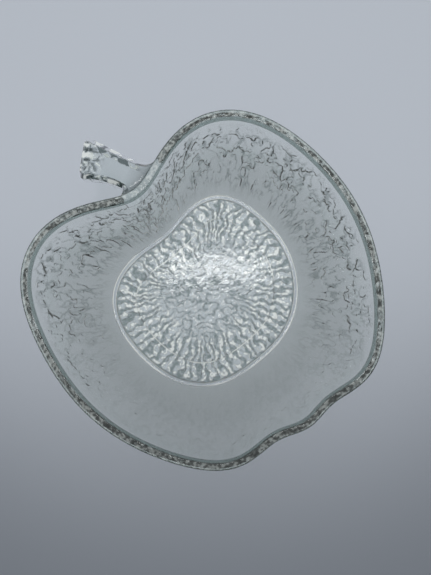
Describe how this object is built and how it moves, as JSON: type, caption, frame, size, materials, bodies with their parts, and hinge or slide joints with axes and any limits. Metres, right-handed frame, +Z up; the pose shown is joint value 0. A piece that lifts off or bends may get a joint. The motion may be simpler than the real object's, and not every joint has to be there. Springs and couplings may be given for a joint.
{
  "type": "apple-shaped glass dish",
  "caption": "Shallow pressed-glass dish in the shape of an apple, with a rounded rim, a bark-textured wall, a ribbed base on a foot ring and a stub stem as its handle.",
  "frame": {"origin": "centre of the whole dish in X and Y, on the surface that the foot stands on", "axes": "+Z up out of the dish; +Y to the side that the stem is on; +X to the right of the stem, seen from above with the stem at the top"},
  "size_m": [0.1808, 0.1908, 0.046],
  "materials": {
    "plain_glass": "fire-polished clear glass with a faint green tint",
    "bark_glass": "clear pressed glass with a bark relief",
    "ribbed_glass": "clear pressed glass with wavy ribs"
  },
  "bodies": {
    "root": {"floor_panel": "ribbed_glass", "rib_border": "ribbed_glass", "foot_ring": "ribbed_glass", "side_wall": "bark_glass", "rim_bead": "plain_glass", "stem_handle": "plain_glass"}
  },
  "joints": []
}
